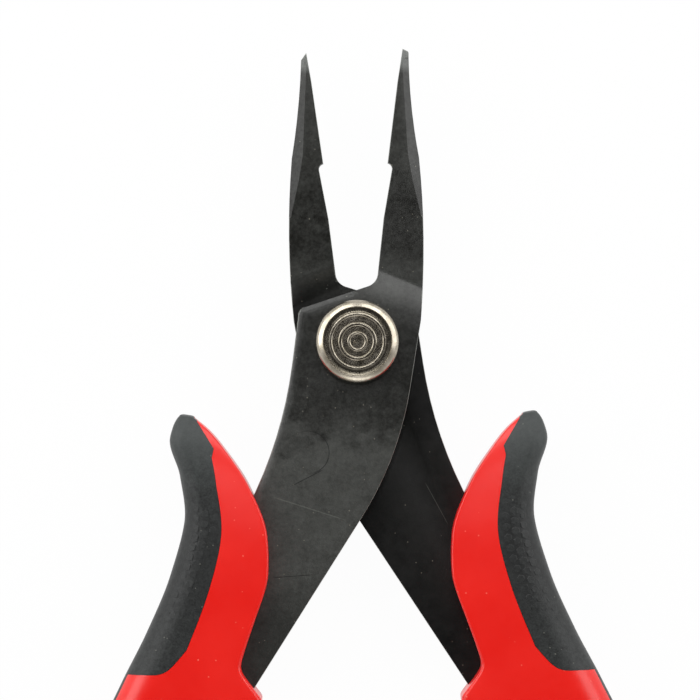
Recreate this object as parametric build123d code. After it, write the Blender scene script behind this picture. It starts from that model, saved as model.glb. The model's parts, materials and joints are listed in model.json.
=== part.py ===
from build123d import *
import math
import os

# Fine-nosed precision pliers: two blanked steel levers crossing in a lap
# joint, a round-headed pivot screw with its nut, a wire return spring and
# two-colour grips with a horn that keeps the fingers off the steel.
#
# Frame: +Y runs from the pivot to the jaw tips, +Z points from the nut to the
# ringed screw head. The origin is on the pivot axis, on the flat back of the
# nut, which is also the plane of the grips' flat backs: the tool lies on it.
#
# Every outline below is drawn with the jaws shut, for the lever whose jaw is
# on the +X side and whose tang runs down the -X side. The other lever and
# grip are the same forms turned over about Y. Both are then swung open.

# ---- lever stock and joint (mm) ----
PLATE = 3.0                    # thickness of the blanked steel
WASHER = 0.2                   # thickness of the washer between the levers
OPEN_ANGLE = 18.8              # angle between the levers at rest, degrees
TIP_CLEARANCE = 0.02           # each jaw face stands off the closing plane by this

# ---- jaw outline ----
TIP = (0.0, 38.5)              # end of the rear jaw's gripping face
TIP_WIDTH = 0.85               # width of the blunt end
TIP_RAKE = 0.85                # how far the outer corner of the tip sits back
FRONT_REACH = 0.4              # the front jaw is ground this much longer
FRONT_RAKE = 0.25              # its blunt end is squarer, with a round corner
FRONT_ROUND = 0.3
TIP_FACET = 2.1                # length of the thinned end of the jaw
TIP_THICK = 1.7                # thickness left at the very tip
NOSE_SWELL = (2.85, 29.7)      # on the outer edge, half way down the nose
BUMP = (4.32, 25.15)           # corner where the nose meets the jaw root
ROOT_SWELL = (6.2, 16.6)       # on the outer edge of the jaw root
FLANK_TOP = (7.8, 4.0)         # where the root runs into the plate's flank
LAND_END = 34.6                # the gripping faces touch from here to the tip
RELIEF_MID = (0.14, 30.9)      # gripping face, eased back towards the notch
NOTCH_LIP = (0.36, 23.75)      # end of the gripping face
NOTCH_MID = (0.85, 23.52)
NOTCH_FOOT = (1.05, 23.05)
THROAT = (0.95, 16.5)          # inner edge of the jaw root
CROTCH = (1.36, 7.9)           # corner between jaw and plate, before rounding
CROTCH_ROUND = 1.9

# ---- plate and tang outline ----
SHOULDER = (-8.2, 3.0)         # upper corner of the plate, before rounding
SHOULDER_ROUND = 0.9
WAIST = (-7.8, -13.05)         # bend between the plate and the tang, grip side
WAIST_ROUND = 57.0
FLANK = (7.75, -14.3)          # the same bend on the inner side
FLANK_ROUND = 45.0
TANG_OUT_KNEE = (-21.4, -60.4)
TANG_IN_KNEE = (-14.9, -66.5)
TANG_WIDTH = 7.0               # width of the tang deep in the grip
TANG_END = 91.0                # distance of the tang's end below the pivot
TANG_LEAN = 3.8                # lean of that last stretch, degrees

# ---- joggle that brings the jaw to the middle plane ----
BEND_TILT = 13.7               # tilt of the bend lines, degrees
FACE_BEND = (6.15, 9.7)        # where the upper face's slope starts and ends
BACK_BEND = (7.65, 10.5)       # the same on the face next to the other lever
BEND_SOFT = 5.0                # rounding where the upper slope leaves the plate
BEND_ROUND = 1.2               # and at the other three bends

# ---- bevels ----
BEVEL_ANGLE = 40.0             # slope of the bevel along the jaw, degrees
BEVEL_LINE = [(0.12, 37.6), (2.81, 25.3), (3.95, 22.0), (5.75, 17.6)]
ROLL_WIDTH = 1.35              # soft roll-over along the plate's grip side
ROLL_DEPTH = 0.4
ROLL_SPAN = 7.4                # how far it runs on along the plate's top edge

# ---- pivot ----
PIN_DIA = 5.0
PIN_FIT = 0.03                 # radial clearance of the pin in both levers
HEAD_DIA = 10.9
HEAD_ROUND = 0.7               # rounded rim of the head
DISH_DIA = 9.0                 # dished ring between the rim and the raised disc
DISH_DEPTH = 0.45
BOSS_DIA = 7.5                 # raised disc that carries the ridges
BOSS_DROP = 0.12               # how far the ridges sit below the rim
VALLEYS = [(2.55, 3.27), (1.36, 1.97)]   # radii of the turned rings between them
EYE_DIA = 1.8                  # round hollow in the middle
RING_DEPTH = 0.16
THREAD_DIA = 4.0
THREAD_END = 0.3               # the thread stops this far inside the nut's back
NUT_DIA = 10.0
NUT_EDGE = 0.5
SPANNER_PITCH = 6.6            # centres of the two pin-spanner holes
SPANNER_DIA = 1.4
SPANNER_DEPTH = 1.1
WASHER_DIA = 10.4
DISC_DIA = 9.0                 # disc spring under the nut
DISC_STOCK = 0.4
DISC_CONE = 0.3                # height of its cone, beyond the strip
DISC_FIT = 0.15                # radial clearance on the thread

# ---- grips ----
GRIP_THICK = 11.0              # across the flats, and the height of the tool
PAD_SKIN = 1.6                 # thickness of the soft pad over the hard core
SPINE_HALF = 2.7               # half height of the soft strip down the spine
SPINE_START = -44.0
SPINE_END = -103.0

# Sections across the grip: y, outer x, inner x, half thickness as a share of
# half the grip's thickness, radius of the outer and of the inner edges.
HORN_ROOT = (-16.3, -22.4, -15.45, 0.86, 2.4, 0.5)
HORN_SECTIONS = [
    (-12.95, -21.4, -20.2, 0.52, 0.5, 0.4),
    (-13.6, -21.85, -18.95, 0.6, 0.9, 0.4),
    (-14.6, -22.2, -17.4, 0.69, 1.5, 0.45),
    HORN_ROOT,
]
BODY_SECTIONS = [
    HORN_ROOT,
    (-21.0, -20.35, -11.15, 0.92, 3.3, 0.5),
    (-27.0, -18.85, -7.8, 0.975, 4.0, 0.5),
    (-34.0, -19.6, -6.6, 1.006, 4.3, 0.5),
    (-42.0, -21.55, -6.0, 1.006, 4.3, 0.6),
    (-49.0, -23.8, -5.2, 1.006, 4.3, 1.1),
    (-57.0, -26.0, -7.9, 1.006, 4.3, 2.2),
    (-75.0, -28.4, -12.5, 1.006, 4.3, 3.7),
    (-94.0, -26.9, -13.4, 1.006, 4.2, 3.7),
    (-105.0, -23.7, -14.2, 0.9, 3.7, 3.3),
    (-109.5, -20.9, -16.4, 0.62, 2.0, 2.0),
]
# Free edge of the wing, down to the mouth where the grip closes on the tang.
WING_EDGE = [(-6.5, -29.5), (-6.64, -31.5), (-6.98, -34.2), (-7.75, -38.3), (-9.0, -44.9)]
MOUTH = (-4.2, -49.1)
MOUTH_ROUND = 1.3
# Line where the soft pad ends and the hard core shows.
PAD_HORN = [(-19.9, -12.2), (-19.2, -13.6), (-16.5, -16.75), (-16.65, -18.0)]
PAD_SIDE = [(-16.65, -18.0), (-15.55, -21.0), (-13.8, -27.6), (-14.3, -35.4), (-15.95, -43.3)]
PAD_FOOT = [(-15.95, -43.3), (-18.3, -46.6), (-21.6, -47.5), (-27.0, -48.2)]

# ---- return spring ----
WIRE_DIA = 1.6
SPRING_FOOT = (-11.9, -70.0)   # where the wire enters the left grip, jaws shut
SOCKET_DEPTH = 2.6             # depth of the socket for the wire's end
SOCKET_FIT = 0.05
SPRING_TOP = -50.6             # height of the arch at rest
SPRING_FLAT = 6.0              # half width of the arch's crown
SPRING_BEND = 9.0

HALF_PLATE = PLATE / 2
HALF_GRIP = GRIP_THICK / 2
PLATE_LOW = WASHER / 2                     # front plate, above the middle plane
PLATE_HIGH = PLATE_LOW + PLATE
HALF_OPEN = OPEN_ANGLE / 2
REACH = TIP[1] + TANG_END / 4              # longer than any cutter needs to be


def solid_face(*edges):
    """Face bounded by a closed chain of edges."""
    return make_face(list(edges))


def turn(point, degrees):
    """A plan point swung about the pivot."""
    angle = math.radians(degrees)
    x = point[0] * math.cos(angle) - point[1] * math.sin(angle)
    y = point[0] * math.sin(angle) + point[1] * math.cos(angle)
    return (x, y)


# ---------------------------------------------------------------- levers
def jaw_edges(reach, rake):
    tip = (TIP_CLEARANCE, TIP[1] + reach)
    tip_corner = (TIP_WIDTH, tip[1] - rake)
    land = (TIP_CLEARANCE, LAND_END)
    return [
        Polyline(NOTCH_LIP, RELIEF_MID, land, tip, tip_corner),
        ThreePointArc(tip_corner, NOSE_SWELL, BUMP),
        ThreePointArc(BUMP, ROOT_SWELL, FLANK_TOP),
        ThreePointArc(NOTCH_FOOT, NOTCH_MID, NOTCH_LIP),
        Polyline(CROTCH, THROAT, NOTCH_FOOT),
    ]


def tang_edges():
    lean = math.radians(TANG_LEAN)
    end_drop = TANG_END + TANG_IN_KNEE[1]
    in_end = (TANG_IN_KNEE[0] - end_drop * math.tan(lean), -TANG_END)
    out_end = (in_end[0] - TANG_WIDTH, -TANG_END)
    end_mid = (in_end[0] - TANG_WIDTH / 2, -TANG_END - TANG_WIDTH / 3)
    return [
        Polyline(FLANK_TOP, FLANK, TANG_IN_KNEE, in_end),
        ThreePointArc(in_end, end_mid, out_end),
        Polyline(out_end, TANG_OUT_KNEE, WAIST, SHOULDER, CROTCH),
    ]


def rounded(face, point, radius):
    """Plan face with the corner at a point rounded."""
    vertex = face.vertices().sort_by_distance((point[0], point[1], 0))[0]
    return fillet(vertex, radius)


def joggle_profile():
    """Slab that is offset over the plate and central over the jaw."""
    crest = (FACE_BEND[0], PLATE_HIGH)
    section = make_face(Polyline(
        (-2 * REACH, PLATE_LOW), (BACK_BEND[0], PLATE_LOW), (BACK_BEND[1], -HALF_PLATE),
        (REACH, -HALF_PLATE), (REACH, HALF_PLATE), (FACE_BEND[1], HALF_PLATE), crest,
        (-2 * REACH, PLATE_HIGH),
        close=True,
    ))
    section = rounded(section, crest, BEND_SOFT)
    bends = [v for v in section.vertices() if BACK_BEND[0] - 0.1 < v.X < BACK_BEND[1] + 0.1]
    section = fillet(bends, BEND_ROUND)
    along = Vector(math.sin(math.radians(BEND_TILT)), math.cos(math.radians(BEND_TILT)), 0)
    side = Plane(origin=(0, 0, 0), x_dir=along, z_dir=along.cross(Vector(0, 0, 1)))
    return extrude(side * section, REACH, both=True)


def bevel_cutter():
    """Wedge that takes the outer top edge off the jaw."""
    width = 4.0
    drop = width * math.tan(math.radians(BEVEL_ANGLE))
    out = Vector(math.cos(math.radians(BEND_TILT)), math.sin(math.radians(BEND_TILT)), 0)
    sections = []
    for x, y in BEVEL_LINE:
        inner = Vector(x, y, HALF_PLATE)
        low = inner + out * width - Vector(0, 0, drop)
        high = inner + out * width + Vector(0, 0, width)
        over = inner + Vector(0, 0, width)
        sections.append(make_face(Polyline(inner, low, high, over, close=True)))
    return loft(sections, ruled=True)


def tip_cutter(reach):
    """Wedge that thins the end of the jaw from above."""
    end = TIP[1] + reach
    drop = HALF_PLATE - TIP_THICK / 2
    slope = make_face(Polyline(
        (end - TIP_FACET, HALF_PLATE), (end + TIP_FACET, HALF_PLATE - 2 * drop),
        (end + TIP_FACET, PLATE), (end - TIP_FACET, PLATE), close=True,
    ))
    return extrude(Plane.YZ * slope, PLATE, both=True)


def roll_cutter(path):
    """Takes the edge off the plate's upper face in a soft curve along a path."""
    path = Pos(0, 0, PLATE_HIGH) * path
    along = path % 0
    side = Vector(along.Y, -along.X, 0)
    mid = (ROLL_WIDTH * 0.45, -ROLL_DEPTH * 0.3)
    section = Plane(origin=path @ 0, x_dir=side, z_dir=-along) * make_face([
        ThreePointArc((ROLL_WIDTH, 0), mid, (0, -ROLL_DEPTH)),
        Polyline((0, -ROLL_DEPTH), (-ROLL_WIDTH, -2 * ROLL_DEPTH), (-ROLL_WIDTH, 1), (ROLL_WIDTH, 1),
                 (ROLL_WIDTH, 0)),
    ])
    return sweep(section, path=path)


def rolled_edges():
    """Cutters for the plate's soft edge: down its flank and along its top."""
    rise = math.atan2(CROTCH[1] - SHOULDER[1], CROTCH[0] - SHOULDER[0])
    far = (SHOULDER[0] + ROLL_SPAN * math.cos(rise), SHOULDER[1] + ROLL_SPAN * math.sin(rise))
    flank = FilletPolyline(TANG_OUT_KNEE, WAIST, SHOULDER, radius=WAIST_ROUND)
    return roll_cutter(flank) + roll_cutter(Line(SHOULDER, far))


def lever(reach=0.0, rake=TIP_RAKE):
    """Lever with its jaw on the +X side, about the middle plane."""
    plan = solid_face(*jaw_edges(reach, rake), *tang_edges())
    plan = rounded(plan, CROTCH, CROTCH_ROUND)
    plan = rounded(plan, SHOULDER, SHOULDER_ROUND)
    plan = rounded(plan, WAIST, WAIST_ROUND)
    plan = rounded(plan, FLANK, FLANK_ROUND)
    blank = extrude(Pos(0, 0, -HALF_PLATE) * plan, PLATE_HIGH + HALF_PLATE, dir=(0, 0, 1))
    body = blank & joggle_profile()
    wedge = bevel_cutter()
    facet = tip_cutter(reach)
    body = body - wedge - mirror(wedge, about=Plane.XY) - facet - mirror(facet, about=Plane.XY)
    bore = Cylinder(PIN_DIA / 2 + PIN_FIT, 4 * PLATE)
    return body - rolled_edges() - bore


def front_blade():
    """The front lever: its jaw is longer, with a rounded tip."""
    blade = lever(FRONT_REACH, FRONT_RAKE)
    corner = (TIP_WIDTH, TIP[1] + FRONT_REACH - FRONT_RAKE, 0)
    upright = blade.edges().filter_by(Axis.Z)
    return fillet(upright.sort_by_distance(corner)[0], FRONT_ROUND)


# ----------------------------------------------------------------- pivot
def revolved(*profile):
    """Solid turned about the pivot axis from (radius, height) points."""
    section = make_face(Polyline(*profile, close=True))
    return revolve(Plane.XZ * section, Axis.Z)


def pivot_screw():
    """Round head with a dished, ringed face on a stepped pin."""
    radius = HEAD_DIA / 2
    rim_in = DISH_DIA / 2
    boss = BOSS_DIA / 2
    pin = PIN_DIA / 2
    thread = THREAD_DIA / 2
    top = HALF_GRIP
    corner_x = radius - HEAD_ROUND * (1 - math.sqrt(0.5))
    corner_z = top - HEAD_ROUND * (1 - math.sqrt(0.5))
    section = make_face([
        Polyline((radius, top - HEAD_ROUND), (radius, PLATE_HIGH), (pin, PLATE_HIGH),
                 (pin, -PLATE_HIGH), (thread, -PLATE_HIGH), (thread, THREAD_END - HALF_GRIP),
                 (0, THREAD_END - HALF_GRIP), (0, top - BOSS_DROP), (boss, top - BOSS_DROP),
                 (boss, top - DISH_DEPTH), (rim_in, top - BOSS_DROP), (rim_in, top),
                 (radius - HEAD_ROUND, top)),
        ThreePointArc((radius - HEAD_ROUND, top), (corner_x, corner_z), (radius, top - HEAD_ROUND)),
    ])
    screw = revolve(Plane.XZ * section, Axis.Z)
    floor = top - BOSS_DROP - RING_DEPTH
    lift = Pos(0, 0, floor + HEAD_DIA / 2)
    for inside, outside in VALLEYS:
        screw = screw - lift * (Cylinder(outside, HEAD_DIA) - Cylinder(inside, HEAD_DIA))
    return screw - lift * Cylinder(EYE_DIA / 2, HEAD_DIA)


def pivot_nut():
    """Round nut, flat at the back, with two holes for a pin spanner."""
    radius = NUT_DIA / 2
    top = -PLATE_HIGH - DISC_STOCK - DISC_CONE
    thread = THREAD_DIA / 2
    nut = revolved(
        (thread, top), (radius, top), (radius, -HALF_GRIP + NUT_EDGE),
        (radius - NUT_EDGE, -HALF_GRIP), (thread, -HALF_GRIP),
    )
    hole = Cylinder(SPANNER_DIA / 2, 2 * SPANNER_DEPTH)
    for side in (-1, 1):
        nut = nut - Pos(side * SPANNER_PITCH / 2, 0, -HALF_GRIP) * hole
    return nut


def disc_spring():
    """Coned washer that keeps the levers pressed together."""
    bore = THREAD_DIA / 2 + DISC_FIT
    rim = DISC_DIA / 2
    return revolved(
        (bore, -PLATE_HIGH - DISC_CONE), (rim, -PLATE_HIGH),
        (rim, -PLATE_HIGH - DISC_STOCK), (bore, -PLATE_HIGH - DISC_STOCK - DISC_CONE),
    )


def joint_washer():
    """Thin washer between the two levers."""
    bore = PIN_DIA / 2 + PIN_FIT
    rim = WASHER_DIA / 2
    return revolved((bore, PLATE_LOW), (rim, PLATE_LOW), (rim, -PLATE_LOW), (bore, -PLATE_LOW))


# ----------------------------------------------------------------- grips
def grip_section(y, outer, inner, share, outer_round, inner_round):
    """Rounded rectangle across the grip, as a face in a plane of constant y."""
    half = HALF_GRIP * share
    bulge = 1 - math.sqrt(0.5)
    oc = outer_round * bulge
    ic = inner_round * bulge
    ring = [
        Line((outer, outer_round - half), (outer, half - outer_round)),
        ThreePointArc((outer, half - outer_round), (outer + oc, half - oc), (outer + outer_round, half)),
        Line((outer + outer_round, half), (inner - inner_round, half)),
        ThreePointArc((inner - inner_round, half), (inner - ic, half - ic), (inner, half - inner_round)),
        Line((inner, half - inner_round), (inner, inner_round - half)),
        ThreePointArc((inner, inner_round - half), (inner - ic, ic - half), (inner - inner_round, -half)),
        Line((inner - inner_round, -half), (outer + outer_round, -half)),
        ThreePointArc((outer + outer_round, -half), (outer + oc, oc - half), (outer, outer_round - half)),
    ]
    plane = Plane(origin=(0, y, 0), x_dir=(1, 0, 0), z_dir=(0, -1, 0))
    return plane * make_face(ring)


def grip_form():
    """Whole outer form of the grip: horn, wing and handle in one."""
    body = loft([grip_section(*row) for row in BODY_SECTIONS])
    horn = loft([grip_section(*row) for row in HORN_SECTIONS], ruled=True)
    form = (body + horn) & Box(2 * REACH, 4 * REACH, GRIP_THICK)
    gap = make_face([
        Spline(*WING_EDGE),
        Polyline(WING_EDGE[-1], MOUTH, (REACH, MOUTH[1]), (REACH, WING_EDGE[0][1]), WING_EDGE[0]),
    ])
    gap = rounded(gap, WING_EDGE[-1], MOUTH_ROUND)
    return form - extrude(gap, REACH, both=True)


def core_tongue():
    """Part of the hard core that runs on under the soft pad."""
    rows = []
    for y, outer, inner, share, outer_round, inner_round in BODY_SECTIONS:
        thinner = share - PAD_SKIN / HALF_GRIP
        softer = max(outer_round - PAD_SKIN, outer_round / 4)
        rows.append((y, outer + PAD_SKIN, inner + 2 * PAD_SKIN, thinner, softer, inner_round / 4))
    return loft([grip_section(*row) for row in rows], ruled=True)


def pad_zone():
    """Where the grip's surface is soft: the palm side, and a strip down the spine."""
    far = -REACH
    plan = make_face([
        Polyline(*PAD_HORN),
        Spline(*PAD_SIDE),
        Spline(*PAD_FOOT),
        Polyline(PAD_FOOT[-1], (far, PAD_FOOT[-1][1]), (far, PAD_HORN[0][1]), PAD_HORN[0]),
    ])
    length = SPINE_START - SPINE_END
    spine = Pos(far / 2, (SPINE_START + SPINE_END) / 2, 0) * Box(REACH, length, 2 * SPINE_HALF)
    return extrude(plan, REACH, both=True) + spine


def spring_leg():
    """Foot and direction of the wire where it enters the left grip, at rest."""
    foot = Vector(*turn(SPRING_FOOT, -HALF_OPEN))
    crown = Vector(-SPRING_FLAT, SPRING_TOP)
    return foot, (crown - foot).normalized()


def spring_socket():
    """Blind hole for the end of the spring wire, drawn with the jaws shut."""
    foot, along = spring_leg()
    bottom = foot - along * SOCKET_DEPTH
    start = Plane(origin=bottom, z_dir=along)
    hole = extrude(start * Circle(WIRE_DIA / 2 + SOCKET_FIT), 3 * SOCKET_DEPTH)
    return Rot(0, 0, HALF_OPEN) * hole


def grip():
    """Hard core and soft pad of the grip on the -X side."""
    form = grip_form()
    pad = (form & pad_zone()) - core_tongue()
    core = form - pad - lever() - spring_socket()
    return core, pad


def return_spring():
    """Bent wire that springs the handles apart."""
    foot, along = spring_leg()
    end = foot - along * SOCKET_DEPTH
    crown = (-SPRING_FLAT, SPRING_TOP)
    path = FilletPolyline(
        (end.X, end.Y), crown, (-crown[0], crown[1]), (-end.X, end.Y), radius=SPRING_BEND,
    )
    start = Plane(origin=path @ 0, z_dir=path % 0)
    return sweep(start * Circle(WIRE_DIA / 2), path=path)


# --------------------------------------------------------------- assembly
def on_front(piece):
    """Place a piece of the front lever, swung open and lifted onto the bench."""
    return Pos(0, 0, HALF_GRIP) * Rot(0, 0, -HALF_OPEN) * piece


def on_rear(piece):
    """Place a piece of the rear lever, turned over, swung open and lifted."""
    return Pos(0, 0, HALF_GRIP) * Rot(0, 0, HALF_OPEN) * Rot(0, 180, 0) * piece


def main():
    core, pad = grip()
    pieces = {
        "front_lever": on_front(front_blade()),
        "rear_lever": on_rear(lever()),
        "left_grip_core": on_front(core),
        "left_grip_pad": on_front(pad),
        "right_grip_core": on_rear(core),
        "right_grip_pad": on_rear(pad),
        "pivot_screw": on_front(pivot_screw()),
        "pivot_nut": Pos(0, 0, HALF_GRIP) * pivot_nut(),
        "disc_spring": on_front(disc_spring()),
        "joint_washer": Pos(0, 0, HALF_GRIP) * joint_washer(),
        "return_spring": Pos(0, 0, HALF_GRIP) * return_spring(),
    }
    os.makedirs("parts", exist_ok=True)
    for name, piece in pieces.items():
        export_step(piece, "parts/" + name + ".step")


main()
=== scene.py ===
import json
import math

import bmesh
import bpy
from mathutils import Matrix, Vector
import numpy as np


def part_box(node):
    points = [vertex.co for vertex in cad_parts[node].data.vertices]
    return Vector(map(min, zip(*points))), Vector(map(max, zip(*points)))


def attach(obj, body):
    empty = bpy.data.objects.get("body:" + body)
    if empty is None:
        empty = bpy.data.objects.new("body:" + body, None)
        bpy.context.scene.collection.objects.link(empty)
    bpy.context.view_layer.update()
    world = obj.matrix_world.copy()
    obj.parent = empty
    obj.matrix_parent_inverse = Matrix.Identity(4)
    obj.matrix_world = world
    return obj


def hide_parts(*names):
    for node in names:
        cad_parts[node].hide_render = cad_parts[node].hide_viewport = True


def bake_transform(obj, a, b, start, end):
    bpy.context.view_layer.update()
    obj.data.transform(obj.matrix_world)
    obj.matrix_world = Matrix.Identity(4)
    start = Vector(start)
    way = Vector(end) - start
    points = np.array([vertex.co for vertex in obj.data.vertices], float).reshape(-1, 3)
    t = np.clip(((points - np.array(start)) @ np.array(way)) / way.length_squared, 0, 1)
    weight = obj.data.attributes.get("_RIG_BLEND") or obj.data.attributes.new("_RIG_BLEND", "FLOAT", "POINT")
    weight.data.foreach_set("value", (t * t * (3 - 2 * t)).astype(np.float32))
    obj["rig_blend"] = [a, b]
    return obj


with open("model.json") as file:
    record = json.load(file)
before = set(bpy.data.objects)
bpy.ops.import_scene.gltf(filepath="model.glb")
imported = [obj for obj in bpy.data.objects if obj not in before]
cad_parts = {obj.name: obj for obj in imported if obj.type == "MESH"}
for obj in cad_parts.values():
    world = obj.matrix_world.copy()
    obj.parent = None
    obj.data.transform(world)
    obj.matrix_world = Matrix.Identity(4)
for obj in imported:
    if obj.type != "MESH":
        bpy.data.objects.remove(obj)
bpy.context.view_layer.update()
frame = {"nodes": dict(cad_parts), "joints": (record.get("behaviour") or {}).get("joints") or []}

# Fine-nosed pliers with two-colour grips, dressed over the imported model.
# Shapes are drawn in millimetres with the jaws shut and the pivot at the
# middle plane, then swung open and lifted to where the model lies.

MM = 0.001
HALF_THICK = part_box("left_grip_core")[1].z / MM / 2
HALF_OPEN = frame["joints"][0]["range_deg"][1] / 2

LIFT = Matrix.Translation((0, 0, HALF_THICK))
FRONT = LIFT @ Matrix.Rotation(math.radians(-HALF_OPEN), 4, "Z")
REAR = LIFT @ Matrix.Rotation(math.radians(HALF_OPEN), 4, "Z") @ Matrix.Rotation(math.pi, 4, "Y")

# Head of the pivot screw, in millimetres: its dirt follows the same sizes.
HEAD_RADIUS = 5.45
RIM_WIDTH = 0.88
RIDGES = [(3.78, 3.28), (2.55, 1.97), (1.36, 0.9)]  # outer and inner foot of each ring


# ------------------------------------------------------------- small tools
def new_object(name, data):
    obj = bpy.data.objects.new(name, data)
    bpy.context.scene.collection.objects.link(obj)
    return obj


def new_piece(name, form):
    """Object made of a form, with the form's faces turned outwards."""
    mesh = bpy.data.meshes.new(name)
    bmesh.ops.recalc_face_normals(form, faces=form.faces)
    form.to_mesh(mesh)
    form.free()
    return new_object(name, mesh)


def opened_form(mesh):
    """A mesh opened for editing."""
    form = bmesh.new()
    form.from_mesh(mesh)
    return form


def drop(*objs):
    """Remove helper objects that have done their work."""
    for obj in objs:
        bpy.data.objects.remove(obj)


def settle(obj):
    """Turn an object's modifiers into plain mesh."""
    graph = bpy.context.evaluated_depsgraph_get()
    mesh = bpy.data.meshes.new_from_object(obj.evaluated_get(graph))
    obj.modifiers.clear()
    obj.data = mesh
    return obj


def shade(obj, degrees):
    """Smooth shading that keeps edges sharper than an angle."""
    obj.data.shade_smooth()
    obj.data.set_sharp_from_angle(angle=math.radians(degrees))


def place(obj, matrix):
    """Swing a shape drawn in millimetres to where it lies, in metres."""
    obj.data.transform(Matrix.Scale(MM, 4) @ matrix)


def cut(obj, other, operation):
    """Combine two closed meshes."""
    tool = obj.modifiers.new("Cut", "BOOLEAN")
    tool.operation = operation
    tool.solver = "EXACT"
    tool.object = other
    return settle(obj)


def soften(obj, width, degrees):
    """Break the sharp edges of a hard piece."""
    edge = obj.modifiers.new("Edge", "BEVEL")
    edge.width = width
    edge.segments = 2
    edge.limit_method = "ANGLE"
    edge.angle_limit = math.radians(degrees)
    return settle(obj)


SAME_POINT = 0.000002  # corners nearer than this are one corner, metres
SAME_PLANE = 0.6  # triangles flatter than this are one face, degrees
PACKED_EXTRAS = ("custom_normal", "sharp_edge", "sharp_face")


def merged_copy(node, name, nearer_than=SAME_POINT):
    """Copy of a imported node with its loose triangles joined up."""
    mesh = frame["nodes"][node].data.copy()
    mesh.materials.clear()
    form = opened_form(mesh)
    bmesh.ops.remove_doubles(form, verts=form.verts, dist=nearer_than)
    flat = math.radians(SAME_PLANE)
    bmesh.ops.dissolve_limit(form, angle_limit=flat, verts=form.verts, edges=form.edges)
    form.to_mesh(mesh)
    form.free()
    for extra in [a.name for a in mesh.attributes if a.name in PACKED_EXTRAS]:
        mesh.attributes.remove(mesh.attributes[extra])
    return new_object(name, mesh)


def smooth_through(points):
    """Monotone cubic through (position, value) pairs, as a function."""
    points = sorted(points)
    at = [p[0] for p in points]
    to = [p[1] for p in points]
    gaps = [b - a for a, b in zip(at, at[1:])]
    rises = [(b - a) / g for a, b, g in zip(to, to[1:], gaps)]
    slopes = [rises[0]]
    for i in range(1, len(rises)):
        before, after = rises[i - 1], rises[i]
        if before * after <= 0:
            slopes.append(0.0)
        else:
            slopes.append(2 * before * after / (before + after))
    slopes.append(rises[-1])

    def value(x):
        if x <= at[0]:
            return to[0]
        if x >= at[-1]:
            return to[-1]
        i = max(k for k in range(len(gaps)) if at[k] <= x)
        t = (x - at[i]) / gaps[i]
        return (to[i] * (1 + 2 * t) * (1 - t) ** 2 + slopes[i] * gaps[i] * t * (1 - t) ** 2
                + to[i + 1] * t * t * (3 - 2 * t) + slopes[i + 1] * gaps[i] * t * t * (t - 1))
    return value


def curve_through(points, steps=14):
    """Catmull-Rom line through plan points."""
    line = []
    padded = [points[0]] + list(points) + [points[-1]]
    for a, b, c, d in zip(padded, padded[1:], padded[2:], padded[3:]):
        for k in range(steps):
            t = k / steps
            line.append(tuple(
                0.5 * (2 * q + (r - p) * t + (2 * p - 5 * q + 4 * r - s) * t * t
                       + (3 * q - p - 3 * r + s) * t ** 3)
                for p, q, r, s in zip(a, b, c, d)))
    line.append(tuple(points[-1]))
    return line


def prism(name, plan, low, high):
    """Closed upright block on a plan outline."""
    form = bmesh.new()
    floor = [form.verts.new((x, y, low)) for x, y in plan]
    face = form.faces.new(floor)
    moved = bmesh.ops.extrude_face_region(form, geom=[face])
    top = [v for v in moved["geom"] if isinstance(v, bmesh.types.BMVert)]
    bmesh.ops.translate(form, verts=top, vec=(0, 0, high - low))
    return new_piece(name, form)


def turned(name, profile, segments):
    """Closed piece turned about the pivot axis from (radius, height) points."""
    form = bmesh.new()
    rings = []
    for radius, height in profile:
        if radius == 0:
            rings.append([form.verts.new((0, 0, height))])
            continue
        ring = []
        for k in range(segments):
            angle = 2 * math.pi * k / segments
            ring.append(form.verts.new((radius * math.cos(angle), radius * math.sin(angle), height)))
        rings.append(ring)
    for a, b in zip(rings, rings[1:] + rings[:1]):
        if len(a) == 1 and len(b) == 1:
            continue
        for k in range(segments):
            n = (k + 1) % segments
            if len(a) == 1:
                form.faces.new((a[0], b[k], b[n]))
            elif len(b) == 1:
                form.faces.new((a[k], a[n], b[0]))
            else:
                form.faces.new((a[k], a[n], b[n], b[k]))
    return new_piece(name, form)


def arc(centre, radius, start, end, steps):
    """Profile points along part of a circle."""
    points = []
    for k in range(steps + 1):
        angle = math.radians(start + (end - start) * k / steps)
        points.append((centre[0] + radius * math.cos(angle), centre[1] + radius * math.sin(angle)))
    return points


# -------------------------------------------------------------- node trees
class Nodes:
    """A node tree built a node at a time: an input is a value or another node's output."""

    def __init__(self, tree):
        self.tree = tree

    def add(self, kind, settings=None, **inputs):
        node = self.tree.nodes.new(kind)
        for key, value in (settings or {}).items():
            setattr(node, key, value)
        for label, value in inputs.items():
            self.feed(node.inputs[label.replace("_", " ")], value)
        return node

    def feed(self, socket, value):
        if isinstance(value, bpy.types.NodeSocket):
            self.tree.links.new(value, socket)
        else:
            socket.default_value = value

    def math(self, operation, *values):
        node = self.add("ShaderNodeMath", {"operation": operation})
        for socket, value in zip(node.inputs, values):
            self.feed(socket, value)
        return node.outputs[0]


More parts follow.
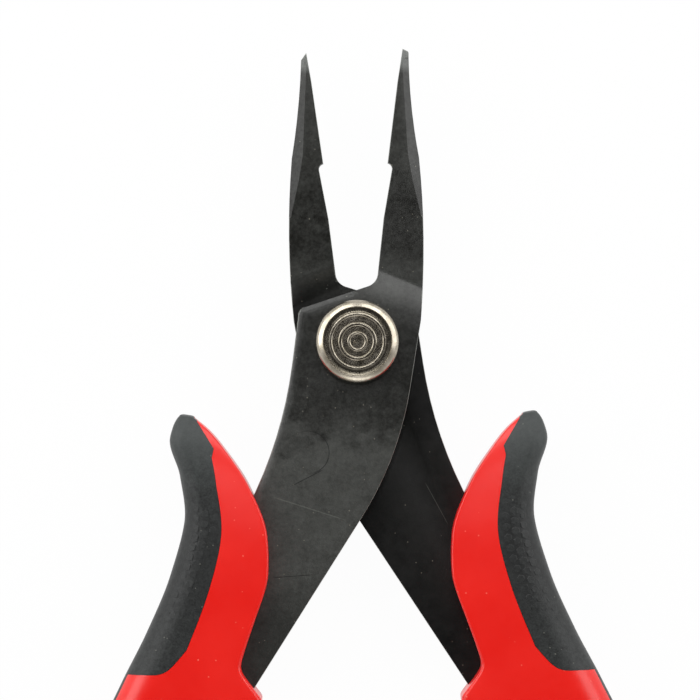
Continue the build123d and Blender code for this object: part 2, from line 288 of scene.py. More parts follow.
class Growth(Nodes):
    """A geometry node tree with named inputs, run on an object."""

    def __init__(self, name, **inputs):
        super().__init__(bpy.data.node_groups.new(name, "GeometryNodeTree"))
        self.values = {}
        sockets = self.tree.interface
        sockets.new_socket("Geometry", in_out="INPUT", socket_type="NodeSocketGeometry")
        for label, (kind, value) in inputs.items():
            label = label.replace("_", " ")
            socket = sockets.new_socket(label, in_out="INPUT", socket_type="NodeSocket" + kind)
            self.values[socket.identifier] = value
        sockets.new_socket("Geometry", in_out="OUTPUT", socket_type="NodeSocketGeometry")
        self.given = self.add("NodeGroupInput").outputs
        self.result = self.add("NodeGroupOutput").inputs["Geometry"]

    def vectors(self, operation, a, b):
        node = self.add("ShaderNodeVectorMath", {"operation": operation})
        self.feed(node.inputs[0], a)
        self.feed(node.inputs["Scale" if operation == "SCALE" else 1], b)
        return node.outputs[0]

    def end(self, geometry, material):
        real = self.add("GeometryNodeRealizeInstances", Geometry=geometry)
        painted = self.add("GeometryNodeSetMaterial", Geometry=real.outputs[0], Material=material)
        self.feed(self.result, painted.outputs[0])

    def grow(self, obj):
        """Run the tree on an object and keep the result as plain mesh."""
        modifier = obj.modifiers.new(self.tree.name, "NODES")
        modifier.node_group = self.tree
        for identifier, value in self.values.items():
            modifier[identifier] = value
        return settle(obj)


# ---------------------------------------------------------------- finishes
def linear(r, g, b):
    """Screen colour (0 to 255) as a linear one."""
    out = []
    for value in (r, g, b):
        value /= 255
        out.append(value / 12.92 if value < 0.04045 else ((value + 0.055) / 1.055) ** 2.4)
    return tuple(out)


class Finish(Nodes):
    """A node material on object coordinates."""

    def __init__(self, name):
        self.material = bpy.data.materials.new(name)
        self.material.use_nodes = True
        super().__init__(self.material.node_tree)
        self.shader = self.tree.nodes["Principled BSDF"]
        self.place = self.add("ShaderNodeTexCoord").outputs["Object"]
        self.x, self.y = self.parts(self.place)[:2]

    def parts(self, vector):
        """X, Y and Z of a vector."""
        return self.add("ShaderNodeSeparateXYZ", Vector=vector).outputs

    def attribute(self, name):
        return self.add("ShaderNodeAttribute", {"attribute_name": name}).outputs["Fac"]

    def add_up(self, first, *others):
        """Sum of (source, share) pairs."""
        total = self.math("MULTIPLY", *first)
        for pair in others:
            total = self.math("ADD", total, self.math("MULTIPLY", *pair))
        return total

    def strongest(self, first, *others):
        """The largest of several masks."""
        for other in others:
            first = self.math("MAXIMUM", first, other)
        return first

    def spread(self, source, low, high, to_low=0.0, to_high=1.0):
        """Stretch what lies between two values to two others."""
        node = self.add("ShaderNodeMapRange", From_Min=low, From_Max=high,
                        To_Min=to_low, To_Max=to_high, Value=source)
        return node.outputs["Result"]

    def along(self, start, end, before, after):
        """Change between two places along the tool, in millimetres."""
        return self.spread(self.y, start * MM, end * MM, before, after)

    def around(self, centre, full, gone, inside, outside):
        """Change with the distance from a place along the tool, in millimetres."""
        away = self.math("ABSOLUTE", self.math("SUBTRACT", self.y, centre * MM))
        return self.spread(away, full * MM, gone * MM, inside, outside)

    def noise(self, scale, detail=3.0, roughness=0.55):
        node = self.add("ShaderNodeTexNoise", Vector=self.place, Scale=scale, Detail=detail,
                        Roughness=roughness)
        return node.outputs["Fac"]

    def patches(self, scale, low, high, detail=3.0, roughness=0.55, darkest=0.0, lightest=1.0):
        """Noise with its contrast drawn out."""
        return self.spread(self.noise(scale, detail, roughness), low, high, darkest, lightest)

    def specks(self, scale, size, share):
        """Sparse dots, as dust lying on the surface."""
        cells = self.add("ShaderNodeTexVoronoi", Vector=self.place, Scale=scale).outputs
        near = self.math("LESS_THAN", cells["Distance"], size)
        drawn = self.add("ShaderNodeSeparateColor", Color=cells["Color"]).outputs[0]
        return self.math("MULTIPLY", near, self.math("LESS_THAN", drawn, share))

    def dust(self, coarse, fine):
        """Two kinds of specks: (how close together, size, share of them kept)."""
        return self.strongest(self.specks(*coarse), self.specks(*fine))

    def placed_on(self, centre, degrees):
        """X and Y seen from a point in millimetres, turned by an angle."""
        node = self.add("ShaderNodeMapping", {"vector_type": "TEXTURE"}, Vector=self.place,
                        Location=(centre[0] * MM, centre[1] * MM, 0),
                        Rotation=(0, 0, math.radians(degrees)))
        return self.parts(node.outputs[0])[:2]

    def fine_line(self, away, half_width):
        """A line that is full at its middle and gone at its half width."""
        return self.spread(away, half_width * MM, half_width * LINE_CORE * MM)

    def scratch(self, centre, degrees, length, half_width):
        """Thin straight mark on the top face, in millimetres."""
        x, y = self.placed_on(centre, degrees)
        ends = self.spread(self.math("ABSOLUTE", x), length / 2 * MM, length / SCRATCH_FULL * MM)
        return self.math("MULTIPLY", ends, self.fine_line(self.math("ABSOLUTE", y), half_width))

    def scribed_arc(self, centre, degrees, radius, half_width):
        """Half of a thin ring on the top face, on the side that it is turned to."""
        x, y = self.placed_on(centre, degrees)
        square = self.math("ADD", self.math("MULTIPLY", x, x), self.math("MULTIPLY", y, y))
        away = self.math("ABSOLUTE", self.math("SUBTRACT", self.math("SQRT", square), radius * MM))
        fade = radius * ARC_FADE * MM
        return self.math("MULTIPLY", self.fine_line(away, half_width), self.spread(x, -fade, fade))

    def mix(self, factor, a, b):
        """Mix two colours; each is a socket or an (r, g, b)."""
        node = self.add("ShaderNodeMix", {"data_type": "RGBA"}, Factor=factor)
        sockets = [s for s in node.inputs if s.type == "RGBA"]
        for socket, value in zip(sockets, (a, b)):
            self.feed(socket, (*value, 1) if isinstance(value, tuple) else value)
        return [s for s in node.outputs if s.type == "RGBA"][0]

    def lay(self, over, mask, share, under):
        """Lay a colour over another where a mask asks for it."""
        return self.mix(self.math("MULTIPLY", mask, share), under, over)

    def bump(self, height, distance, strength):
        node = self.add("ShaderNodeBump", Height=height, Distance=distance * MM, Strength=strength)
        self.feed(self.shader.inputs["Normal"], node.outputs["Normal"])

    def surface(self, **values):
        """Give the shader its inputs: values, or what the nodes before it make."""
        for name, value in values.items():
            self.feed(self.shader.inputs[name.replace("_", " ")], value)
        return self.material


BLACK = (0.0, 0.0, 0.0)
LINE_CORE = 0.3  # share of a mark's half width where it is at its strongest
SCRATCH_FULL = 2.6  # from its middle, a scratch is full for its length divided by this
ARC_FADE = 0.2  # share of the radius over which a scribed arc fades in

# Changes of the steel's look along the tool: from, to, value before, value after.
JAW_ROOT_SHADE = (19, 24, -0.17, 0.04)
UNDER_GRIP_SHADE = (-37, -31, 0.45, 1.0)
TIP_GROUND = (35.2, 36.2, 0.0, 0.6)
LOWER_SHADE = (4, 10)  # painted shade: each lever has its own value before, 1 after
SLOPE_PAINTED_HIGHLIGHT = (7.8, 1.2, 4.2, 0.34, 0.0)  # painted highlight on the bend's slope: place, full within, gone beyond, values
LIGHTER_BELOW = (-3.5, -7.5)  # lighter below the pivot: where that starts, where it is full
LIGHTER_BELOW_RAGGED = 14  # noise shifts that by up to this

# Marks on the plate: middle, turn in degrees, length or radius, half width.
FAINT_SCRATCHES = [((-6.56, -21.86), -18.3, 10.4, 0.09), ((10.2, -21.5), -62, 6.5, 0.05)]
SCRIBED_ARC = ((-6.68, -14.5), 14, 2.8, 0.09)
SCRIBED_LINES = [((-8.83, -30.7), 3.4, 5.7, 0.07), ((-6.7, -17.8), 26.6, 5.0, 0.09)]

STEEL_DARK = linear(6, 6, 2)
STEEL_LIGHT = linear(66, 67, 64)
STEEL_GROUND = linear(112, 115, 112)
STEEL_EDGE_HIGHLIGHT = linear(128, 130, 124)
STEEL_DUST = linear(140, 136, 122)
FAINT_MARK = linear(110, 112, 106)
DARK_MARK = linear(6, 6, 5)


def blackened_steel(name, level, shine):
    """Oil-blacked steel: clouded, lighter below the pivot, dusty and marked; painted highlights on the
    bend's slope and broken edges, painted shade under the grips and, to a level, below the jaws.
    """
    finish = Finish(name)
    cloud = finish.patches(scale=170, detail=4, roughness=0.6, low=0.3, high=0.7)
    stain = finish.patches(scale=420, detail=5, roughness=0.62, low=0.42, high=0.6)
    grain = finish.patches(scale=1900, detail=4, roughness=0.8, low=0.34, high=0.66)
    ragged = finish.math("MULTIPLY", finish.noise(scale=230, detail=5, roughness=0.62), LIGHTER_BELOW_RAGGED * MM)
    lighter_below = finish.spread(finish.math("ADD", finish.y, ragged), LIGHTER_BELOW[0] * MM, LIGHTER_BELOW[1] * MM)
    tone = finish.add_up((cloud, 0.16), (stain, 0.16), (grain, 0.38), (lighter_below, 0.58))
    tone = finish.math("ADD", tone, finish.along(*JAW_ROOT_SHADE))
    # painted highlight along the bend's slope
    tone = finish.math("ADD", tone, finish.around(*SLOPE_PAINTED_HIGHLIGHT))
    tone = finish.math("MULTIPLY", tone, finish.along(*UNDER_GRIP_SHADE))
    colour = finish.mix(tone, STEEL_DARK, STEEL_LIGHT)
    # painted shade: a level below 1 darkens the lever below the jaws, as if in the upper lever's shade
    colour = finish.mix(finish.along(*LOWER_SHADE, level, 1.0), BLACK, colour)
    colour = finish.mix(finish.along(*TIP_GROUND), colour, STEEL_GROUND)
    dust = finish.dust(coarse=(640, 0.06, 0.2), fine=(1500, 0.12, 0.13))
    colour = finish.lay(STEEL_DUST, mask=dust, share=0.38, under=colour)
    faint = finish.strongest(*(finish.scratch(*mark) for mark in FAINT_SCRATCHES))
    colour = finish.lay(FAINT_MARK, mask=faint, share=0.3, under=colour)
    scribed = finish.strongest(finish.scribed_arc(*SCRIBED_ARC),
                               *(finish.scratch(*mark) for mark in SCRIBED_LINES))
    colour = finish.lay(DARK_MARK, mask=scribed, share=0.8, under=colour)
    uneven = finish.patches(scale=500, low=0.3, high=0.6, darkest=0.3, lightest=0.7)
    # painted highlight on the narrow facets of the broken edges
    colour = finish.lay(STEEL_EDGE_HIGHLIGHT, mask=finish.attribute("painted_edge_highlight"), share=uneven, under=colour)
    roughness = finish.patches(scale=700, detail=4, roughness=0.6, low=0.3, high=0.7,
                               darkest=0.33, lightest=0.46)
    finish.bump(finish.noise(scale=5200, detail=3, roughness=0.6), distance=0.02, strength=0.5)
    return finish.surface(Base_Color=colour, Roughness=roughness, Metallic=0.0, Specular_IOR_Level=shine)


NICKEL_BRIGHT = linear(184, 176, 162)
NICKEL_DULL = linear(146, 139, 122)
NICKEL_DIRT = linear(78, 70, 52)
DISH_FADE = 0.15  # the dirt is full this far inside the rim
MOAT_FADE = 0.1  # its thick ring ends over this, at the foot of the largest ridge


def worn_nickel():
    """Nickel plate with brown dirt left in the dish round the ridges."""
    finish = Finish("worn_nickel")
    blotch = finish.patches(scale=900, detail=4, roughness=0.6, low=0.35, high=0.75)
    colour = finish.mix(blotch, NICKEL_BRIGHT, NICKEL_DULL)
    flat = finish.add("ShaderNodeCombineXYZ", X=finish.x, Y=finish.y)
    length = finish.add("ShaderNodeVectorMath", {"operation": "LENGTH"}, Vector=flat.outputs[0])
    radius = length.outputs["Value"]
    dish_edge = HEAD_RADIUS - RIM_WIDTH
    ridge_foot = RIDGES[0][0]
    dish = finish.spread(radius, dish_edge * MM, (dish_edge - DISH_FADE) * MM)
    smeared = finish.patches(scale=1300, detail=4, roughness=0.7, low=0.45, high=0.65, lightest=0.8)
    outside = finish.spread(radius, (ridge_foot - MOAT_FADE) * MM, ridge_foot * MM)
    moat = finish.math("MULTIPLY", dish, outside)
    dirt = finish.strongest(finish.math("MULTIPLY", dish, smeared), finish.math("MULTIPLY", moat, 0.6))
    grime = finish.strongest(dirt, finish.specks(scale=1900, size=0.22, share=0.07))
    colour = finish.lay(NICKEL_DIRT, mask=grime, share=0.6, under=colour)
    roughness = finish.patches(scale=1500, low=0.3, high=0.7, darkest=0.2, lightest=0.28)
    finish.bump(finish.noise(scale=2600, detail=3, roughness=0.5), distance=0.01, strength=0.08)
    return finish.surface(Base_Color=colour, Roughness=roughness, Metallic=1.0)


RED_DEEP = linear(221, 24, 16)
RED_LIGHT = linear(227, 33, 25)
RED_DUST = linear(250, 150, 130)


def red_shell():
    """Hard satin plastic with a little pale dust on it."""
    finish = Finish("red_shell_plastic")
    cloud = finish.patches(scale=120, detail=3, roughness=0.5, low=0.35, high=0.7)
    colour = finish.mix(cloud, RED_DEEP, RED_LIGHT)
    dust = finish.dust(coarse=(420, 0.05, 0.3), fine=(1100, 0.11, 0.2))
    colour = finish.lay(RED_DUST, mask=dust, share=0.36, under=colour)
    roughness = finish.patches(scale=900, detail=2, low=0.3, high=0.7, darkest=0.28, lightest=0.32)
    finish.bump(finish.noise(scale=450, detail=1, roughness=0.4), distance=0.03, strength=0.12)
    return finish.surface(Base_Color=colour, Roughness=roughness, Metallic=0.0, Specular_IOR_Level=0.5)


PAD_DARK = linear(2, 3, 3)
PAD_LIGHT = linear(48, 51, 50)
PAD_HORN_HIGHLIGHT = linear(70, 75, 74)
PAD_RECESS_SHADE = linear(5, 6, 6)
PAD_DUST = linear(140, 140, 130)
PALM_SHADE = (-29, 4, 13, 0.62, 1.0)  # place along the tool, full within, gone beyond, values
HORN_HIGHLIGHT = (-20, -13, 0.0, 0.45)  # painted highlight on the horn: from, to, value before, value after


def black_pad():
    """Grainy soft plastic, with painted shade in the palm's panel and between its cells, and a painted
    highlight on the horn.
    """
    finish = Finish("black_soft_pad")
    cloud = finish.patches(scale=1300, detail=5, roughness=0.8, low=0.36, high=0.66)
    grain = finish.patches(scale=4000, detail=2, roughness=0.6, low=0.36, high=0.64)
    colour = finish.mix(finish.add_up((cloud, 0.6), (grain, 0.4)), PAD_DARK, PAD_LIGHT)
    colour = finish.mix(finish.around(*PALM_SHADE), BLACK, colour)
    # painted highlight on the horn
    colour = finish.mix(finish.along(*HORN_HIGHLIGHT), colour, PAD_HORN_HIGHLIGHT)
    # painted shade in the sunk panel between the cells
    colour = finish.lay(PAD_RECESS_SHADE, mask=finish.attribute("recess_shade"), share=0.75, under=colour)
    dust = finish.dust(coarse=(620, 0.06, 0.15), fine=(1300, 0.12, 0.14))
    colour = finish.lay(PAD_DUST, mask=dust, share=0.32, under=colour)
    roughness = finish.patches(scale=2000, low=0.3, high=0.7, darkest=0.5, lightest=0.62)
    finish.bump(finish.noise(scale=3800, detail=4, roughness=0.65), distance=0.04, strength=0.6)
    return finish.surface(Base_Color=colour, Roughness=roughness, Metallic=0.0,
                          Specular_IOR_Level=0.42, Sheen_Weight=0.14, Sheen_Roughness=0.35)


SPRING_DULL = linear(158, 160, 162)
SPRING_BRIGHT = linear(186, 187, 188)


def bright_spring_steel():
    """Drawn wire and pressed washers, unplated."""
    finish = Finish("bright_spring_steel")
    cloud = finish.patches(scale=600, detail=4, roughness=0.6, low=0.3, high=0.7)
    colour = finish.mix(cloud, SPRING_DULL, SPRING_BRIGHT)
    roughness = finish.patches(scale=2200, low=0.3, high=0.7, darkest=0.26, lightest=0.4)
    finish.bump(finish.noise(scale=4200), distance=0.01, strength=0.4)
    return finish.surface(Base_Color=colour, Roughness=roughness, Metallic=1.0)


FRONT_STEEL = blackened_steel("blackened_steel", level=1.0, shine=0.5)
# the rear lever gets painted shade, as if shaded by the upper lever
REAR_STEEL = blackened_steel("darker_blackened_steel", level=0.12, shine=0.35)
NICKEL = worn_nickel()
RED = red_shell()
RUBBER = black_pad()
SPRING_STEEL = bright_spring_steel()


def finish_piece(obj, material, body):
    """Give a piece its material and the body that it rides."""
    if material:
        obj.data.materials.clear()
        obj.data.materials.append(material)
    if body:
        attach(obj, body)


# ------------------------------------------------------------------ levers
# Broken edges, in metres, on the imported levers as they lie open.
EDGE_BREAK = 0.00013  # width of the broken edges
WELD = 0.00003  # corners nearer than this are one
CROTCH = (-0.0002, 0.0062)
CROTCH_CLEAR = 0.0026  # no broken edge this near the crotch
UPRIGHT = 0.3  # a side wall's normal rises less than this
LEVEL = 0.85  # and a flat face's more than this
HIGHLIT_WIDTH = 0.7  # a facet narrower than this share of the break gets a painted highlight
HIGHLIT_TILT = (0.2, 0.88)  # if its normal rises between these

# Bend and rolled top edge of the upper face, in millimetres, jaws shut.
PLATE_HIGH = 3.1
BEND_TILT = 13.7  # tilt of the bend line, degrees
BEND_CREST = 6.15
BEND_SLOPE = 0.45
BEND_REACH = 2.6  # half length of the soft bend
JAW_DROP = 1.6
SHOULDER = (-8.2, 3.0)
TOP_EDGE_RISE = 27.1  # degrees
ROLL_WIDTH = 1.35
ROLL_DEPTH = 0.4
ROLL_END = 7.4
ROLL_FADE = 4.5
ROLL_MOST = 1.1  # the deepest it gets, as a share of ROLL_DEPTH
ROLL_CURVE = 1.4
ON_PLANE = 0.0001  # a corner this near to a strip's border is on it
BEND_STRIPS = 6
ROLL_STRIPS = 5
ROLL_ROWS = 3


def bend_drop(x, y):
    """How far the upper face has sunk below the plate, in a wide soft bend."""
    tilt = math.radians(BEND_TILT)
    past = x * math.sin(tilt) + y * math.cos(tilt) - BEND_CREST + BEND_REACH
    if past <= 0:
        return 0
    if past < 2 * BEND_REACH:
        return BEND_SLOPE * past ** 2 / (4 * BEND_REACH)
    return min(BEND_SLOPE * (past - BEND_REACH), JAW_DROP)


def roll_drop(x, y):
    """Depth of the rolled top edge where it fades out towards the crotch."""
    rise = math.radians(TOP_EDGE_RISE)
    dx, dy = x - SHOULDER[0], y - SHOULDER[1]
    along = dx * math.cos(rise) + dy * math.sin(rise)
    inside = dx * math.sin(rise) - dy * math.cos(rise)
    fade = 1 - (along - ROLL_END) / ROLL_FADE
    if not (0 < fade < ROLL_MOST and inside < ROLL_WIDTH):
        return 0
    return ROLL_DEPTH * fade * min(max(1 - inside / ROLL_WIDTH, 0), 1) ** ROLL_CURVE


def ease_upper_face(blade, matrix):
    """Cut the face into strips and let it sink softly into the slope."""
    to_mm = (Matrix.Scale(MM, 4) @ matrix).inverted()
    form = opened_form(blade.data)
    bmesh.ops.transform(form, matrix=to_mm, verts=form.verts)
    tilt, rise = math.radians(BEND_TILT), math.radians(TOP_EDGE_RISE)
    up_bend = Vector((math.sin(tilt), math.cos(tilt), 0))
    along_edge = Vector((math.cos(rise), math.sin(rise), 0))
    in_from_edge = Vector((math.sin(rise), -math.cos(rise), 0))
    corner = Vector((*SHOULDER, 0))
    planes = [(up_bend * (BEND_CREST + BEND_REACH * k / BEND_STRIPS), up_bend)
              for k in range(-BEND_STRIPS, BEND_STRIPS + 1)]
    planes += [(corner + along_edge * (ROLL_END + ROLL_FADE * k / ROLL_STRIPS), along_edge)
               for k in range(ROLL_STRIPS + 1)]
    planes += [(corner + in_from_edge * ROLL_WIDTH * k / ROLL_ROWS, in_from_edge)
               for k in range(1, ROLL_ROWS + 1)]
    for point, normal in planes:
        everything = form.verts[:] + form.edges[:] + form.faces[:]
        bmesh.ops.bisect_plane(form, geom=everything, plane_co=point, plane_no=normal, dist=ON_PLANE)
    for vertex in form.verts:
        x, y, z = vertex.co
        if z > PLATE_HIGH - JAW_DROP:
            vertex.co.z = min(z, PLATE_HIGH - max(bend_drop(x, y), roll_drop(x, y)))
    bmesh.ops.transform(form, matrix=to_mm.inverted(), verts=form.verts)
    form.to_mesh(blade.data)
    form.free()


def break_outline(blade):
    """Bevel the rim of the upper and lower face, except in the tight crotch."""
    mesh = blade.data
    form = opened_form(mesh)
    chosen = []
    for edge in form.edges:
        rises = sorted(abs(face.normal.z) for face in edge.link_faces)
        middle = (edge.verts[0].co + edge.verts[1].co) / 2
        clear = math.dist(middle.xy, CROTCH) > CROTCH_CLEAR + edge.calc_length() / 2
        on_rim = len(rises) == 2 and rises[0] < UPRIGHT and rises[1] > LEVEL
        chosen.append(float(on_rim and clear))
    form.free()
    mesh.attributes.new("bevel_weight_edge", "FLOAT", "EDGE").data.foreach_set("value", chosen)
    rim = blade.modifiers.new("Rim", "BEVEL")
    rim.width = EDGE_BREAK
    rim.segments = 3
    rim.limit_method = "WEIGHT"
    rim.use_clamp_overlap = False
    settle(blade)


def mark_highlit_edges(blade):
    """Mark the narrow facets of the broken edges, where a highlight is painted."""
    mesh = blade.data
    marks = mesh.attributes.new("painted_edge_highlight", "FLOAT", "FACE").data
    for face in mesh.polygons:
        corners = [mesh.vertices[i].co for i in face.vertices]
        around = sum((a - b).length for a, b in zip(corners, corners[1:] + corners[:1]))
        narrow = 2 * face.area / around < HIGHLIT_WIDTH * EDGE_BREAK
        marks[face.index].value = float(narrow and HIGHLIT_TILT[0] < abs(face.normal.z) < HIGHLIT_TILT[1])


def lever(node, name, body, material, matrix):
    blade = merged_copy(node, name, WELD)
    break_outline(blade)
    ease_upper_face(blade, matrix)
    mark_highlit_edges(blade)
    shade(blade, degrees=20)
    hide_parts(node)
    finish_piece(blade, material, body)


lever("front_lever", "front_lever_blade", "front", FRONT_STEEL, FRONT)
lever("rear_lever", "rear_lever_blade", "rear", REAR_STEEL, REAR)

# ------------------------------------------------------------------- pivot
SEAT_GAP = 0.02  # the head stands clear of the plate by this
UNDER_START = 0.3  # the rounded underside starts this far inside the rim
UNDER_ROUND = 0.2
UNDER_HIGH = 0.24  # height of its centre above the plate
RIM_DROP = 1.15  # height of the rim's curved part
RIM_LEAN = 27  # slope at which it leaves the crest, degrees
RIM_FULLNESS = 3  # 2 is an ellipse, more is fuller
RIM_STEPS = 18
DISH_FLOOR = 0.12
DISH_WALL = [(0.04, 0.05), (0.1, 0.75), (0.2, 0.9), (0.5, 1.0)]  # inwards, share of the depth
RIDGE_DROP = 0.05
VALLEY_DROP = 0.2
EDGE = 0.15  # width of a ridge's rounded edge
EDGE_SHOULDER = (0.7, 0.02)  # a point on it: share of that width, depth below the crown
CENTRE_FLAT = 0.3
PIN_RADIUS = 2.5
THREAD_RADIUS = 2.0
THREAD_PITCH = 0.5
THREAD_DEPTH = 0.2
THREAD_CHAMFER = 0.25
THREAD_RUNOUT = 0.35  # plain stretch between the thread and the pin
SCREW_END = 5.2
PIP = (-0.36, -0.19)
PIP_PROFILE = [(0.1, -0.05), (0.24, -0.05), (0.21, 0.04), (0.15, 0.05), (0.1, -0.02), (0.1, -0.05)]


def screw_shank():
    """(radius, height) points of the threaded end and the plain pin, upwards."""
    thread_start = THREAD_CHAMFER - SCREW_END
    seat = PLATE_HIGH + SEAT_GAP
    points = [(0, -SCREW_END), (THREAD_RADIUS - THREAD_CHAMFER, -SCREW_END), (THREAD_RADIUS, thread_start)]
    turns = int((SCREW_END - PLATE_HIGH - THREAD_RUNOUT) / THREAD_PITCH)
    for k in range(turns):
        root = thread_start + THREAD_PITCH * (k + 0.5)
        points += [(THREAD_RADIUS - THREAD_DEPTH, root), (THREAD_RADIUS, root + THREAD_PITCH / 2)]
    return points + [(THREAD_RADIUS, -PLATE_HIGH), (PIN_RADIUS, -PLATE_HIGH), (PIN_RADIUS, seat)]


def head_profile(top):
    """Broad rounded rim, flat dished ring and a raised disc with turned ridges."""
    profile = [(HEAD_RADIUS - UNDER_START, PLATE_HIGH + SEAT_GAP)]
    profile += arc((HEAD_RADIUS - UNDER_ROUND, PLATE_HIGH + UNDER_HIGH), UNDER_ROUND, -60, 0, steps=4)
    crest = HEAD_RADIUS - RIM_WIDTH
    lean = math.tan(math.radians(RIM_LEAN)) * RIM_WIDTH / RIM_DROP
    for k in range(RIM_STEPS + 1):
        out = math.cos(math.radians(90 / RIM_STEPS * k))
        sunk = lean * out + (1 - lean) * (1 - (1 - out ** RIM_FULLNESS) ** (1 / RIM_FULLNESS))
        profile.append((crest + RIM_WIDTH * out, top - RIM_DROP * sunk))
    for inward, sunk in DISH_WALL:
        profile.append((crest - inward, top - DISH_FLOOR * sunk))
    for number, (outer, inner) in enumerate(RIDGES):
        foot = top - (DISH_FLOOR if number == 0 else VALLEY_DROP)
        crown = top - RIDGE_DROP
        inward, lower = EDGE * EDGE_SHOULDER[0], crown - EDGE_SHOULDER[1]
        profile += [(outer, foot), (outer - inward, lower), (outer - EDGE, crown),
                    (inner + EDGE, crown), (inner + inward, lower), (inner, top - VALLEY_DROP)]
    profile += [(CENTRE_FLAT, top - VALLEY_DROP), (0, top - VALLEY_DROP)]
    return profile


def add_pip(screw, top):
    """Tiny ring that the turning tool left beside the centre."""
    floor = top - VALLEY_DROP
    pip = turned("pip", [(radius, floor + rise) for radius, rise in PIP_PROFILE], segments=24)
    pip.data.transform(Matrix.Translation((*PIP, 0)))
    cut(screw, pip, "UNION")
    drop(pip)


screw = turned("pivot_screw_head", screw_shank() + head_profile(HALF_THICK), segments=160)
add_pip(screw, HALF_THICK)
place(screw, FRONT)
shade(screw, degrees=30)
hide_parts("pivot_screw")
finish_piece(screw, NICKEL, "front")

# ------------------------------------------------------------------- grips
# (along the grip, outer edge, inner edge, palm side rounding, inner rounding)
GRIP_ROWS = [
    (-12.95, -21.4, -20.2, 0.5, 0.4),
    (-13.6, -21.85, -18.95, 0.9, 0.4),
    (-14.6, -22.2, -17.4, 1.4, 0.35),
    (-16.3, -22.4, -15.45, 2.0, 0.3),
    (-21.0, -20.35, -11.15, 2.8, 0.3),
    (-27.0, -18.85, -7.8, 3.3, 0.3),
    (-34.0, -19.6, -6.6, 3.8, 0.3),
    (-42.0, -21.55, -6.0, 4.1, 0.4),
    (-49.0, -23.8, -5.2, 4.3, 0.9),
    (-57.0, -26.0, -7.9, 4.3, 2.2),
    (-75.0, -28.36, -12.5, 4.3, 3.7),
    (-94.0, -26.88, -13.4, 4.2, 3.7),
    (-105.0, -23.7, -14.2, 3.7, 3.3),
    (-107.6, -22.35, -15.1, 2.9, 2.8),
    (-109.5, -20.6, -16.7, 1.6, 1.6),
]
# (along the grip, share of its full thickness)
GRIP_SHARE = [
    (-12.95, 0.42), (-13.6, 0.5), (-14.6, 0.6), (-16.3, 0.715), (-18.5, 0.8), (-21.0, 0.86), (-24.0, 0.91),
    (-27.0, 0.95), (-31.0, 0.98), (-36.0, 1.0), (-94.0, 1.0), (-101.0, 0.96), (-105.0, 0.87),
    (-107.6, 0.72), (-108.8, 0.56), (-109.5, 0.4),
]
WING_EDGE = [(-6.5, -29.5), (-6.64, -31.5), (-6.98, -34.2), (-7.75, -38.3), (-9.0, -44.9), (-10.1, -50)]
MOUTH = (-4.2, -49.1)
PAD_SKIN = 1.6
SPINE_HALF = 2.7
SPINE = (-44.0, -103.0)
PAD_HORN = [(-19.9, -12.2), (-19.2, -13.6), (-16.5, -16.75), (-16.57, -18.0)]
PAD_SIDE = [(-16.57, -18.0), (-15.55, -21.0), (-13.8, -27.6), (-14.3, -35.4), (-15.95, -43.3)]
PAD_FOOT = [(-15.95, -43.3), (-18.3, -46.6), (-21.6, -47.5), (-27.0, -48.2)]
PAD_CLEARANCE = 0.05  # gap between the pad and its bed in the shell
PAD_GROWS = (0.9, -0.4)  # the way that the pad's border faces
FAR_OUT = -60  # cutters reach past the grip to here
FAR_IN = -10
FAR_UP = 20
CROWN = 0.16  # how much the broad faces fall away to their edges
WING_TOP = -30.0  # above this the inner edge is the wing's
WING_FOOT = WING_EDGE[4]  # where the wing's edge turns into the mouth
WING_BLEND = 0.15  # rounding between the outlines that meet
MOUTH_BLEND = 1.1
HANDLE_BLEND = 0.25
LEAST_HALF = 0.1  # least half width of a section
SIDE_STEPS = 4  # points up each side of a section
BROAD_STEPS = 16  # and across its broad face
ROUND_ROOM = (2.2, 0.9)  # rounding fits the width divided by this, and this share of the half
TONGUE_ROUND = 4  # the tongue keeps its edge's rounding divided by this, at least

# Heights of the sections: from the first to the last, with (down to, step),
# close together where the form turns fast.
FIRST_ROW = -13.25
LAST_ROW = -109.2
ROW_STEPS = [(-17, 0.25), (-43, 0.55), (-50, 0.18), (-104, 1.0), (LAST_ROW, 0.4)]
CAP_RINGS = 4  # rings that close each end
CAP_RISE = 0.3
CAP_TURN = 4.6  # rings that a full quarter turn would take
CAP_SHRINK = 0.65


def soft_max(a, b, width):
    """The larger of two values, rounded where they cross."""
    return 0.5 * (a + b + math.sqrt((a - b) ** 2 + width ** 2))


OUTER_AT, INNER_AT, OUTER_ROUND_AT, INNER_ROUND_AT = (
    smooth_through([(row[0], row[i]) for row in GRIP_ROWS]) for i in range(1, 5))
SHARE_AT = smooth_through(GRIP_SHARE)
WING_AT = smooth_through([(y, x) for x, y in WING_EDGE])


def inner_edge(y):
    """The grip's inner outline: handle, then mouth, then the wing's free edge."""
    form = INNER_AT(y)
    if y > WING_TOP:
        return -soft_max(-form, -WING_AT(y), WING_BLEND)
    foot_x, foot_y = WING_FOOT
    mouth = foot_x + (foot_y - y) * (MOUTH[0] - foot_x) / (foot_y - MOUTH[1])
    gap = soft_max(WING_AT(y), mouth, MOUTH_BLEND)
    return -soft_max(-form, -gap, HANDLE_BLEND)


